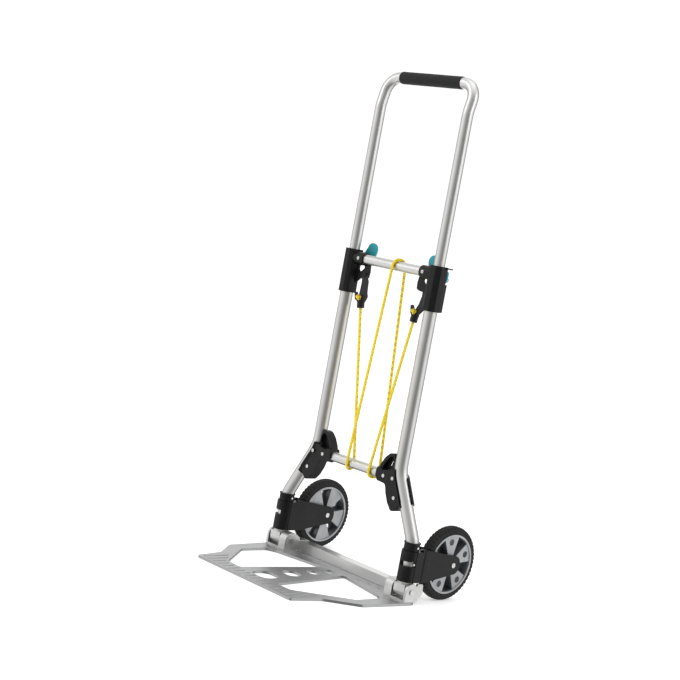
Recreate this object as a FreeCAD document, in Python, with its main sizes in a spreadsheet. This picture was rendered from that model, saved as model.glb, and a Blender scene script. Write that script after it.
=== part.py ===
import FreeCAD, Part
import Sketcher
import os
import math
from FreeCAD import Vector as V

# Folding aluminium hand truck. Millimetres, +Z up, +X to the right seen from
# the platform side, +Y towards the wheels. The origin is on the floor at the
# middle of the footprint.

doc = FreeCAD.newDocument("folding_hand_truck")
sheet = doc.addObject("Spreadsheet::Sheet", "dimensions")

cells = [
    ("frame_set_back", 37.75),     # tube plane behind the origin
    ("tube_half_pitch", 131.0),    # upper tubes, each side of the middle
    ("foot_half_pitch", 203.0),    # lower tubes and wheels
    ("main_outer_radius", 14.5),
    ("main_bore_radius", 12.9),
    ("handle_outer_radius", 12.2),
    ("handle_bore_radius", 10.8),
    ("main_top_height", 702.0),
    ("main_bottom_height", 44.4),
    ("knee_high", 264.0),
    ("knee_low", 130.0),
    ("knee_bend_upper", 80.0),
    ("knee_bend_lower", 48.0),
    ("handle_bottom_height", 645.0),
    ("grip_height", 1100.0),
    ("grip_back", 12.5),
    ("grip_half_length", 91.0),
    ("grip_radius", 13.9),
    ("handle_bend", 36.0),
    ("bar_radius", 11.0),
    ("bar_bore_radius", 9.6),
    ("upper_bar_height", 693.0),
    ("lower_bar_height", 247.5),
    ("bar_half_upper", 107.0),
    ("bar_half_lower", 111.0),
    ("wheel_radius", 82.0),
    ("axle_back", 118.5),
    ("tyre_width", 24.0),
    ("rim_radius", 65.7),
    ("rim_half_width", 13.4),
    ("axle_radius", 4.0),
    ("bush_radius", 6.0),
    ("hub_half_width", 14.2),
    ("fork_inner_half", 15.7),
    ("fork_outer_half", 21.0),
    ("carrier_bottom", 46.6),
    ("carrier_top", 113.0),
    ("carrier_radius", 20.0),
    ("carrier_bore", 14.8),
    ("fork_tip_radius", 20.5),
    ("pivot_height", 27.5),
    ("pivot_pin_radius", 5.0),
    ("pivot_hole_radius", 5.1),
    ("lobe_radius", 18.0),
    ("inner_ear_in", 163.0),
    ("inner_ear_out", 184.5),
    ("outer_ear_in", 221.5),
    ("outer_ear_out", 227.0),
    ("deck_height", 5.5),
    ("deck_sheet", 2.2),
    ("deck_front", 276.0),
    ("beam_front", 29.0),
    ("beam_rear", 57.0),
    ("beam_bottom", 3.0),
    ("beam_top", 27.0),
    ("beam_wall", 2.0),
    ("bracket_bottom", 614.0),
    ("bracket_top", 711.0),
    ("bracket_radius", 18.0),
    ("boss_radius", 14.4),
    ("boss_inner", 88.0),
    ("lever_thickness", 4.0),
    ("paddle_radius", 15.0),
    ("paddle_height", 716.0),
    ("paddle_place", 95.0),
    ("lever_axis_back", 24.5),
    ("lever_axis_height", 684.0),
    ("lever_pin_radius", 2.0),
    ("rivet_radius", 4.0),
    ("cord_radius", 3.25),
    ("cord_wrap", 14.45),
]
for row, (alias, value) in enumerate(cells, 1):
    sheet.set("A%d" % row, alias)
    sheet.set("B%d" % row, repr(value))
    sheet.setAlias("B%d" % row, alias)
doc.recompute()


def val(name):
    return float(getattr(sheet, name))


YO = val("frame_set_back")
NODES = []


def P3(x, y, z):
    """A point of the truck, with y measured from the plane of the tubes."""
    return V(x, y + YO, z)


def node(obj, label):
    obj.Label = label
    NODES.append(obj)
    return obj


def expr(obj, prop, text):
    obj.setExpression(prop, text)


def S(alias):
    return "dimensions." + alias


# ---------------------------------------------------------------- primitives
def cylinder(name, radius, height, base, direction, angle=None):
    """Part cylinder; radius and height are sheet expressions."""
    c = doc.addObject("Part::Cylinder", name)
    expr(c, "Radius", radius)
    expr(c, "Height", height)
    if angle is not None:
        c.Angle = angle
    c.Placement = FreeCAD.Placement(base, FreeCAD.Rotation(V(0, 0, 1), direction))
    return c


def tube(name, r_out, r_in, height, base, direction):
    a = cylinder(name + "_outer", r_out, height, base, direction)
    b = cylinder(name + "_bore", r_in, height + " + 20", base - direction * 10.0, direction)
    return cut(name, a, b)


def cut(name, base, tool):
    c = doc.addObject("Part::Cut", name)
    c.Base = base
    c.Tool = tool
    return c


def fuse(name, objs):
    f = doc.addObject("Part::MultiFuse", name)
    f.Shapes = objs
    f.Refine = True
    return f


def box(name, lx, ly, lz, corner):
    b = doc.addObject("Part::Box", name)
    expr(b, "Length", lx)
    expr(b, "Width", ly)
    expr(b, "Height", lz)
    b.Placement.Base = corner
    return b


def compound(name, objs):
    c = doc.addObject("Part::Compound", name)
    c.Links = objs
    return c


def feature(name, shape, place=None):
    f = doc.addObject("Part::Feature", name)
    f.Shape = shape
    if place is not None:
        f.Placement = place
    return f


# ------------------------------------------------------------------ outlines
def rounded(points):
    """Edges of a closed outline. Each point is (a, b) or (a, b, fillet)."""
    n = len(points)
    pts = [V(p[0], p[1], 0) for p in points]
    rad = [p[2] if len(p) > 2 else 0.0 for p in points]
    tan_half = []
    for i in range(n):
        a, b, c = pts[i - 1], pts[i], pts[(i + 1) % n]
        tan_half.append(math.tan((a - b).getAngle(c - b) / 2.0))
    for _ in range(4):
        # no fillet may run past the fillet at the other end of an edge
        for i in range(n):
            j = (i + 1) % n
            room = (pts[j] - pts[i]).Length - 0.15
            used = rad[i] / tan_half[i] + rad[j] / tan_half[j]
            if used > room:
                rad[i] *= room / used
                rad[j] *= room / used
    ends = []
    for i in range(n):
        a, b, c = pts[i - 1], pts[i], pts[(i + 1) % n]
        if rad[i] <= 0.05 or tan_half[i] > 60:
            ends.append((b, b, None))
            continue
        u = (a - b).normalize()
        w = (c - b).normalize()
        half = u.getAngle(w) / 2.0
        t = rad[i] / math.tan(half)
        p, q = b + u * t, b + w * t
        m = (u + w).normalize()
        centre = b + m * (rad[i] / math.sin(half))
        ends.append((p, q, centre - m * rad[i]))
    edges = []
    for i in range(n):
        p, q, mid = ends[i]
        if mid is not None:
            edges.append(Part.Arc(p, mid, q))
        nxt = ends[(i + 1) % n][0]
        if (nxt - q).Length > 1e-6:
            edges.append(Part.LineSegment(q, nxt))
    return edges


def draw(sk, outline):
    """Draw a closed outline in a sketch, its ends tied together."""
    ids = []
    for g in rounded(outline):
        first, last = 1, 2
        if not isinstance(g, Part.LineSegment):
            # a sketch wants its arcs anticlockwise
            edge = g.toShape()
            u0, u1 = edge.ParameterRange
            c, p, m, q = edge.Curve.Center, edge.valueAt(u0), edge.valueAt((u0 + u1) / 2), edge.valueAt(u1)
            turn = (m - p).cross(q - m).z
            if turn < 0:
                p, q = q, p
                first, last = 2, 1
            a0, a1 = math.atan2(p.y - c.y, p.x - c.x), math.atan2(q.y - c.y, q.x - c.x)
            g = Part.ArcOfCircle(Part.Circle(c, V(0, 0, 1), edge.Curve.Radius), a0, a1 if a1 > a0 else a1 + 2 * math.pi)
        ids.append((sk.addGeometry(g, False), first, last))
    for k in range(len(ids)):
        a, b = ids[k], ids[(k + 1) % len(ids)]
        sk.addConstraint(Sketcher.Constraint("Coincident", a[0], a[2], b[0], b[1]))


def pad_body(name, outline, length, place, holes=(), extra=None):
    """PartDesign body: one padded sketch, with round holes bound to the sheet."""
    body = doc.addObject("PartDesign::Body", name)
    sk = body.newObject("Sketcher::SketchObject", name + "_sketch")
    plane = [o for o in body.Origin.OriginFeatures if o.Role == "XY_Plane"][0]
    sk.AttachmentSupport = [(plane, "")]
    sk.MapMode = "FlatFace"
    draw(sk, outline)
    for hx, hy, hr in holes:
        gid = sk.addGeometry(Part.Circle(V(hx, hy, 0), V(0, 0, 1), 1.0), False)
        cid = sk.addConstraint(Sketcher.Constraint("Radius", gid, 1.0))
        sk.setExpression("Constraints[%d]" % cid, hr)
    pad = body.newObject("PartDesign::Pad", name + "_pad")
    pad.Profile = sk
    expr(pad, "Length", length)
    body.Tip = pad
    body.Placement = place
    return body


# placements that stand an outline up: its two directions become truck axes
def frame_of(ax, ay, origin):
    az = ax.cross(ay)
    m = FreeCAD.Matrix(ax.x, ay.x, az.x, origin.x,
                       ax.y, ay.y, az.y, origin.y,
                       ax.z, ay.z, az.z, origin.z,
                       0, 0, 0, 1)
    return FreeCAD.Placement(m)


def stand_xz(y_rear):
    """Outline in (X, Z); the thickness grows forward from y_rear."""
    return frame_of(V(1, 0, 0), V(0, 0, 1), P3(0, y_rear, 0))


def stand_yz(x_low):
    """Outline in (Y, Z) from the tube plane; the thickness grows towards +X."""
    return frame_of(V(0, 1, 0), V(0, 0, 1), P3(x_low, 0, 0))


def lie_xy(z_low):
    """Outline in (X, Y) from the tube plane; the thickness grows upward."""
    return frame_of(V(1, 0, 0), V(0, 1, 0), P3(0, 0, z_low))


def flip(points, s):
    return [(s * p[0],) + tuple(p[1:]) for p in points]


# --------------------------------------------------------------- bent tubes
def bent_path(points):
    """Straight runs joined by tangent arcs. Points are (x, y, z, bend radius)."""
    pts = [V(*p[:3]) for p in points]
    edges = []
    radii = []
    start = pts[0]
    for i in range(1, len(pts) - 1):
        u = (pts[i - 1] - pts[i]).normalize()
        w = (pts[i + 1] - pts[i]).normalize()
        half = u.getAngle(w) / 2.0
        r = points[i][3]
        t = r / math.tan(half)
        a, b = pts[i] + u * t, pts[i] + w * t
        m = (u + w).normalize()
        mid = pts[i] + m * (r / math.sin(half) - r)
        if (a - start).Length > 1e-6:
            edges.append(Part.LineSegment(start, a).toShape())
        edges.append(Part.Arc(a, mid, b).toShape())
        radii.append(round(r, 1))
        start = b
    edges.append(Part.LineSegment(start, pts[-1]).toShape())
    return Part.Wire(edges), radii


def swept(wire, radius):
    first = wire.Edges[0]
    p = first.valueAt(first.FirstParameter)
    d = first.tangentAt(first.FirstParameter)
    ring = Part.Wire(Part.makeCircle(radius, p, d))
    solid = wire.makePipeShell([ring], True, False)
    if solid.ShapeType == "Compound" and len(solid.Solids) == 1:
        solid = solid.Solids[0]
    return solid


def solid_of(edges, direction):
    wire = Part.Wire(Part.__sortEdges__([e.toShape() if hasattr(e, "toShape") else e for e in edges]))
    return Part.Face(wire).extrude(direction)


# =============================================================== the frame
ht = val("tube_half_pitch")
hf = val("foot_half_pitch")
ro, ri = val("main_outer_radius"), val("main_bore_radius")
ho, hi = val("handle_outer_radius"), val("handle_bore_radius")
top, low = val("main_top_height"), val("main_bottom_height")
k_hi, k_lo = val("knee_high"), val("knee_low")
zb_hi, zb_lo = val("upper_bar_height"), val("lower_bar_height")
xdir, ydir, zdir = V(1, 0, 0), V(0, 1, 0), V(0, 0, 1)

SIDES = ((1, "right"), (-1, "left"))


def main_path(s, z_top=None, z_low=None):
    return bent_path([
        (s * ht, YO, top if z_top is None else z_top, 0),
        (s * ht, YO, k_hi, val("knee_bend_upper")),
        (s * hf, YO, k_lo, val("knee_bend_lower")),
        (s * hf, YO, low if z_low is None else z_low, 0)])[0]


for s, side in SIDES:
    path = main_path(s)
    bore = main_path(s, top + 1, low - 1)
    hole = Part.makeCylinder(3.4, 12.0, P3(s * ht, 8.0, 694.0), ydir)
    node(feature("main_tube_" + side, swept(path, ro).cut([swept(bore, ri), hole])), "main_tube_" + side)

# telescopic handle, one bent tube; its top bar is set back a little
zg, yg = val("grip_height"), val("grip_back")
z_h = val("handle_bottom_height")


def handle_path(z_end):
    return bent_path([
        (-ht, YO, z_end, 0), (-ht, YO, 1035.0, 60.0), (-ht, YO + yg, zg, val("handle_bend")),
        (ht, YO + yg, zg, val("handle_bend")), (ht, YO, 1035.0, 60.0), (ht, YO, z_end, 0)])[0]


node(feature("handle_tube", swept(handle_path(z_h), ho).cut(swept(handle_path(z_h - 1), hi))), "handle_tube")

node(tube("handle_grip", S("grip_radius"), S("handle_outer_radius"), S("grip_half_length") + " * 2",
          P3(-val("grip_half_length"), yg, zg), xdir), "handle_grip")

for s, side in SIDES:
    foot = P3(s * ht, 0, z_h - 10.0)
    plug = fuse("handle_glide_" + side + "_solid", [
        cylinder("glide_collar_" + side, S("main_bore_radius") + " - 0.15", "10", foot, zdir),
        cylinder("glide_spigot_" + side, S("handle_bore_radius"), "32", foot, zdir)])
    glide = cut("handle_glide_" + side, plug, cylinder("glide_hole_" + side, "7", "60", foot - zdir * 5, zdir))
    node(glide, "handle_glide_" + side)

# crossbars
for nm, z, half in (("upper_crossbar", "upper_bar_height", "bar_half_upper"), ("lower_crossbar", "lower_bar_height", "bar_half_lower")):
    bar = tube(nm + "_tube", S("bar_radius"), S("bar_bore_radius"), S(half) + " * 2", P3(-val(half), 0, val(z)), xdir)
    if nm == "upper_crossbar":
        bar = cut(nm, bar, compound(nm + "_rivet_holes", [cylinder(nm + "_rivet_hole_%d" % d, "2.4", "12", P3(d * 99.4, -5.0, val(z)), -ydir) for d in (1, -1)]))
    node(bar, nm)

# ------------------------------------------------- brackets at the tube tops
# where the two cord hooks hang on their brackets
PEG = {1: (107.0, 651.5), -1: (-81.5, 659.0)}
zb0, zb1 = val("bracket_bottom"), val("bracket_top")
for s, side in SIDES:
    # faceted sleeve round the tube top, open below for the main tube and above for the handle
    outline = [(-14.5, -14.5, 5), (-5.5, -19.5, 4), (8.5, -18.6, 4), (17.8, -9.0, 4), (18.2, 8.0, 5), (11.0, 18.0, 4), (-11.0, 18.0, 4), (-18.0, 9.0, 5)]
    sleeve = pad_body("bracket_sleeve_" + side, [(s * (ht + p[0]), p[1], p[2]) for p in outline],
                      S("bracket_top") + " - " + S("bracket_bottom"), lie_xy(zb0))
    boss = cylinder("bracket_boss_" + side, S("boss_radius"), S("tube_half_pitch") + " - " + S("boss_inner"),
                    P3(s * val("boss_inner"), 0, zb_hi), xdir * s)
    web = pad_body("bracket_web_" + side, flip([(116, 703, 2), (101, 703, 5), (90, 694, 4), (78.5, 688, 4), (75.0, 668, 6), (76.0, 654, 3), (84.0, 651.0, 3), (101, 649.0, 6), (116, 636, 2)], s),
                   "5.2", stand_xz(7.6))
    rib = pad_body("bracket_rib_" + side, flip([(112.5, 651, 1), (86, 656.5, 1), (82, 668, 1), (84.5, 681, 1), (78.6, 683, 1), (76.5, 668, 2), (78.0, 655.5, 2), (86.0, 652.4, 2), (101.5, 650.4, 4), (112.5, 642.0, 1)], s),
                   "7.0", stand_xz(9.4))
    window = pad_body("bracket_window_" + side, flip([(111.5, 676.5, 1.5), (92.5, 679.5, 1.5), (91.0, 673, 2), (101.5, 663.5, 2.5), (109.0, 666.5, 2)], s), "24", stand_xz(14.0))
    eye_x, eye_z = PEG[s]
    peg = fuse("bracket_peg_" + side, [cylinder("peg_shank_" + side, "3.0", "14.8", P3(eye_x, 9.0, eye_z), -ydir),
                                       cylinder("peg_head_" + side, "4.6", "1.3", P3(eye_x, -4.5, eye_z), -ydir)])
    strip = box("bracket_strip_" + side, "10", "9.0", "60", P3(s * 136.0 - 5.0, 15.0, zb0))
    lug = pad_body("bracket_lug_" + side, [(14, 676, 2), (24.5, 676.5, 4), (29.5, 681, 5), (29.5, 687, 5), (24, 692, 5), (14, 692, 2)], "9",
                   stand_yz(s * ht - 4.5))
    fin = box("bracket_fin_" + side, "20", "14", "2.6", P3(s * ht + (4 if s > 0 else -24), 5.0, zb1 - 3.6))
    body = fuse("bracket_solid_" + side, [sleeve, boss, web, rib, peg, lug, fin, strip])
    tools = compound("bracket_tools_" + side, [
        cylinder("bracket_tube_seat_" + side, S("main_outer_radius"), S("main_top_height") + " - " + S("bracket_bottom") + " + 5", P3(s * ht, 0, zb0 - 5), zdir),
        cylinder("bracket_handle_way_" + side, S("handle_outer_radius") + " + 0.35", "40", P3(s * ht, 0, zb1 - 20), zdir),
        cylinder("bracket_bar_seat_" + side, S("bar_radius"), "45", P3(s * (val("bar_half_upper") - 45), 0, zb_hi), xdir * s),
        cylinder("bracket_pin_hole_" + side, S("lever_pin_radius"), "60", P3(s * ht - 30, val("lever_axis_back"), val("lever_axis_height")), xdir),
        cylinder("bracket_rivet_hole_" + side, "2.4", "12", P3(s * 99.4, -8.0, zb_hi), -ydir),
        cylinder("bracket_rivet_seat_" + side, S("rivet_radius"), "8", P3(s * 99.4, -13.6, zb_hi), -ydir),
        cylinder("bracket_lock_hole_" + side, "3.4", "40", P3(s * ht, 5, 694.0), ydir)])
    body = cut("bracket_bored_" + side, body, window)
    node(cut("upper_bracket_" + side, body, tools), "upper_bracket_" + side)

# rivets through the bosses into the crossbar ends
heads = []
for s, side in SIDES:
    heads.append(cylinder("bar_rivet_shank_" + side, "2.38", "7.6", P3(s * 99.4, -8.4, zb_hi), -ydir))
    heads.append(cylinder("bar_rivet_head_" + side, S("rivet_radius") + " - 0.02", "1.7", P3(s * 99.4, -13.6, zb_hi), -ydir))
node(compound("upper_bar_rivets", [fuse("upper_bar_rivet_right", heads[0:2]), fuse("upper_bar_rivet_left", heads[2:4])]), "upper_bar_rivets")

# ------------------------------------------------------------ release levers
la, lz = val("lever_axis_back"), val("lever_axis_height")
px, pz = val("paddle_place"), val("paddle_height")
for s, side in SIDES:
    outline = flip([(111, 681, 1), (141.5, 681, 3), (141.5, 700, 5), (134, 705, 8), (118, 705, 10), (112, 716, 3), (100, 728, 3), (84, 722, 3), (80.5, 712, 6), (83, 702.5, 5), (97, 700.5, 4), (108, 694, 5)], s)
    blade = pad_body("lever_blade_" + side, outline, S("lever_thickness"), stand_xz(23.6))
    disc = cylinder("lever_disc_" + side, S("paddle_radius"), S("lever_thickness"), P3(s * px, 23.6, pz), -ydir)
    hub = cylinder("lever_hub_" + side, "4.4", "28", P3(s * (ht - 19.5), la, lz), xdir * s)
    solid = fuse("lever_solid_" + side, [blade, disc, hub])
    tools = compound("lever_tools_" + side, [
        box("lever_gap_" + side, "10.2", "30", "20", P3(s * ht - 5.1, 12, 675.5)),
        cylinder("lever_bore_" + side, S("lever_pin_radius") + " + 0.08", "60", P3(s * ht - 30, la, lz), xdir)])
    node(cut("release_lever_" + side, solid, tools), "release_lever_" + side)
    node(cylinder("lever_pin_" + side, S("lever_pin_radius"), "28.5", P3(s * (ht - 19), la, lz), xdir * s), "lever_pin_" + side)
    # locking plunger: slides in the bracket wall and points at the handle tube
    plunger = fuse("lock_plunger_" + side + "_solid", [
        cylinder("plunger_nose_" + side, "3.0", "6.5", P3(s * ht, 12.5, 694.0), ydir),
        cylinder("plunger_stem_" + side, "2.0", "0.4", P3(s * ht, 19.0, 694.0), ydir)])
    node(plunger, "lock_plunger_" + side)

# ------------------------------------------------------------ knee brackets
KNEE_RIVETS = ((97.8, zb_lo, -14.4), (128.0, 248.8, -16.9), (139.4, 209.0, -14.4))
for s, side in SIDES:
    path = main_path(s)
    skin = swept(path, 17.9)
    # keep the part of the skin beside the bend
    kp = [V(s * x, YO - 30, z) for x, z in ((100, 269), (130, 269), (141, 260), (154, 256), (196, 213), (181, 206.5), (143, 179.5), (126, 184))]
    keep = solid_of([Part.LineSegment(a, b) for a, b in zip(
        kp, kp[1:] + kp[:1])],
        V(0, 60, 0))
    skin = skin.common(keep)
    # the front and outer side of the tube stay bare
    bare = swept(bent_path([(s * (ht + 9.5), YO - 11.5, 300, 0), (s * (ht + 9.5), YO - 11.5, k_hi + 2.3, val("knee_bend_upper") - 9.5),
                            (s * (hf + 9.5), YO - 11.5, k_lo + 2.3, 0)])[0], 14.2)
    skin = skin.cut(bare)
    plate = solid_of(rounded(flip([
        (112, 300, 2), (101, 298, 12), (89, 287, 20), (79, 271, 16), (73.5, 255, 8), (73.5, 243, 8), (81, 233.5, 7), (100, 232.5, 8), (107, 231, 8),
        (113, 213, 18), (122.5, 195, 16), (135.5, 180.5, 5), (143, 181, 3), (162, 206, 3), (140, 246, 20), (126, 268, 8), (121, 284, 6)], s)), V(0, 0, 28.6))
    plate.Placement = stand_xz(13.6)
    horn_relief = solid_of(rounded(flip([(145, 310), (60, 310), (60, 263), (92, 263, 6), (116, 266, 6), (145, 268)], s)), V(0, 0, 40))
    front = horn_relief.copy()
    front.Placement = stand_xz(-9.0)
    rear = horn_relief.copy()
    rear.Placement = stand_xz(49.0)
    plate = plate.cut(front).cut(rear)
    # the horn is a curved rim with a thinner, slotted panel inside it
    for y_face in (1.0, 33.0):
        pocket = solid_of(rounded(flip([(111.5, 293, 3), (103.5, 291, 9), (93.5, 280, 14), (85.5, 264.5, 5), (92, 258.5, 5), (107, 262, 5), (116.5, 272, 5), (116.5, 284, 5)], s)), V(0, 0, 28.0 if y_face > 2 else 30.0))
        pocket.Placement = stand_xz(y_face)
        plate = plate.cut(pocket)
    slot = solid_of(rounded(flip([(106.0, 284, 1.6), (101.6, 282, 1.6), (96.5, 270.0, 1.6), (101.0, 268.2, 1.6)], s)), V(0, 0, 60))
    slot.Placement = stand_xz(30)
    plate = plate.cut(slot)
    boss = Part.makeCylinder(15.2, 34.0, P3(s * 80.0, 0, zb_lo), xdir * s)
    solid = plate.fuse([skin, boss])
    solid = solid.cut(swept(path, ro)).cut(Part.makeCylinder(val("bar_radius"), 51.0, P3(s * (val("bar_half_lower") - 51.0), 0, zb_lo), xdir * s))
    for x, z, face in KNEE_RIVETS:
        solid = solid.cut(Part.makeCylinder(val("rivet_radius"), 9.0, P3(s * x, face, z), -ydir))
    big = sorted(solid.Solids, key=lambda q: -q.Volume)
    solid = big[0].removeSplitter()
    node(feature("knee_bracket_" + side, solid), "knee_bracket_" + side)

heads = []
for s, side in SIDES:
    for i, (x, z, face) in enumerate(KNEE_RIVETS):
        heads.append(cylinder("knee_rivet_%s_%d" % (side, i), S("rivet_radius") + " - 0.02", "1.9", P3(s * x, face, z), -ydir))
node(compound("knee_rivets", heads), "knee_rivets")

# ------------------------------------------- what holds the wheel carriers
ct = val("carrier_top")
for s, side in SIDES:
    ring = cylinder("collar_ring_" + side, "17.0", "17.5", P3(s * hf, 0, ct + 0.3), zdir)
    rim = cylinder("collar_rim_" + side, "18.4", "2.2", P3(s * hf, 0, ct + 15.6), zdir)
    node(cut("swivel_collar_" + side, fuse("collar_solid_" + side, [ring, rim]), feature("collar_way_" + side, swept(main_path(s), ro))), "swivel_collar_" + side)
    node(tube("swivel_washer_" + side, "17.4", S("main_outer_radius"), "1.8", P3(s * hf, 0, 44.6), zdir), "swivel_washer_" + side)
    az = math.radians(-12.0)
    out = V(s * math.cos(az), math.sin(az), 0)
    node(cylinder("swivel_stop_pin_" + side, "2.5", "5.6", P3(s * hf, 0, 86.0) + out * val("main_outer_radius"), out), "swivel_stop_pin_" + side)
heads = []
for s, side in SIDES:
    for d in (1, -1):
        heads.append(cylinder("collar_rivet_%s_%d" % (side, d + 1), "2.6", "1.8", P3(s * hf + d * 17.02, 0, ct + 8.5), xdir * d))
node(compound("collar_rivets", heads), "collar_rivets")

# cast foot in the end of each tube; the platform turns on it
pv = val("pivot_height")
for s, side in SIDES:
    spigot = cylinder("foot_spigot_" + side, S("main_bore_radius"), "36", P3(s * hf, 0, 44.0), zdir)
    flange = cylinder("foot_flange_" + side, "17.5", "3.4", P3(s * hf, 0, 41.0), zdir)
    block = box("foot_block_" + side, "32", "32", "13.6", P3(s * hf - 16, -16, pv))
    round_end = cylinder("foot_round_" + side, "16", "32", P3(s * hf - 16, 0, pv), xdir)
    solid = fuse("foot_solid_" + side, [spigot, flange, block, round_end])
    node(cut("tube_foot_" + side, solid, cylinder("foot_hole_" + side, S("pivot_hole_radius"), "60", P3(s * hf - 30, 0, pv), xdir)), "tube_foot_" + side)

# =========================================================== wheel carriers
wr, ab = val("wheel_radius"), val("axle_back")
cb, ct = val("carrier_bottom"), val("carrier_top")
fi, fo = val("fork_inner_half"), val("fork_outer_half")
for s, side in SIDES:
    sleeve = cylinder("carrier_sleeve_" + side, S("carrier_radius"), S("carrier_top") + " - " + S("carrier_bottom"), P3(s * hf, 0, cb), zdir)
    neck = box("carrier_neck_" + side, S("fork_outer_half") + " * 2", "26", S("carrier_top") + " - " + S("carrier_bottom"), P3(s * hf - fo, 0, cb))
    zt = wr
    rt = val("fork_tip_radius")
    cheek_outline = [(0, cb), (37, cb, 18), (103, 58.0, 12), (ab + rt + 0.6, 64.0, 18), (ab + rt + 0.6, 100.0, 18), (103.0, 105.0, 12), (54, 113.5, 30), (16.5, 118.5, 2), (16.5, ct), (0, ct)]
    cheeks = []
    for d, nm in ((1, "outer"), (-1, "inner")):
        x0 = s * hf + (fi if d > 0 else -fo)
        cheeks.append(pad_body("carrier_%s_cheek_%s" % (nm, side), cheek_outline, S("fork_outer_half") + " - " + S("fork_inner_half"), stand_yz(x0)))
    column = cylinder("carrier_column_" + side, "9.0", "66", P3(s * (hf + fo - 7.4), 27.0, 50.0), zdir)
    lipped = fuse("carrier_solid_" + side, [sleeve, neck, column] + cheeks)
    start = -112.0 if s > 0 else 182.0
    sector = cylinder("carrier_slot_" + side, "30", "10.5", P3(s * hf, 0, 80.75), zdir, angle=110.0)
    sector.Placement = FreeCAD.Placement(P3(s * hf, 0, 80.75), FreeCAD.Rotation(V(0, 0, 1), start))
    tools = compound("carrier_tools_" + side, [
        cylinder("carrier_bore_" + side, S("carrier_bore"), "120", P3(s * hf, 0, 20), zdir),
        cylinder("carrier_wheel_room_" + side, S("wheel_radius") + " + 4", S("fork_inner_half") + " * 2", P3(s * hf - fi, ab, wr), xdir),
        cylinder("carrier_axle_hole_" + side, S("axle_radius"), "60", P3(s * hf - 30, ab, wr), xdir)])
    body = cut("carrier_open_" + side, lipped, sector)
    node(cut("wheel_carrier_" + side, body, tools), "wheel_carrier_" + side)

    shank = cylinder("axle_shank_" + side, S("axle_radius"), S("fork_outer_half") + " * 2", P3(s * hf - fo, ab, wr), xdir)
    head_a = cylinder("axle_head_a_" + side, "5.6", "1.8", P3(s * hf + fo, ab, wr), xdir)
    head_b = cylinder("axle_head_b_" + side, "5.6", "1.8", P3(s * hf - fo, ab, wr), -xdir)
    node(fuse("wheel_axle_" + side, [shank, head_a, head_b]), "wheel_axle_" + side)
    gap = S("fork_inner_half") + " - " + S("hub_half_width") + " - 0.3"
    node(compound("axle_spacers_" + side, [
        tube("spacer_a_" + side, "9.5", S("axle_radius"), gap, P3(s * hf + val("hub_half_width") + 0.3, ab, wr), xdir),
        tube("spacer_b_" + side, "9.5", S("axle_radius"), gap, P3(s * hf - val("hub_half_width") - 0.3, ab, wr), -xdir)]), "axle_spacers_" + side)

# ==================================================================== wheels
rr, hw, tw = val("rim_radius"), val("rim_half_width"), val("tyre_width")
PADS = (97.0, 25.0, -47.0, -119.0, 169.0)


def polar(r, deg, x):
    a = math.radians(deg)
    return V(x, r * math.cos(a), r * math.sin(a))


def wedge(r0, r1, mid, half0, half1, x0, x1):
    """Block between two radii, its flanks opening with the radius."""
    pts = [polar(r0, mid - half0, x0), polar(r1, mid - half1, x0), polar(r1, mid, x0), polar(r1, mid + half1, x0), polar(r0, mid + half0, x0)]
    edges = [Part.LineSegment(pts[0], pts[1]).toShape(), Part.Arc(pts[1], pts[2], pts[3]).toShape(),
             Part.LineSegment(pts[3], pts[4]).toShape(), Part.Arc(pts[4], polar(r0, mid, x0), pts[0]).toShape()]
    return Part.Face(Part.Wire(edges)).extrude(V(x1 - x0, 0, 0))


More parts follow.
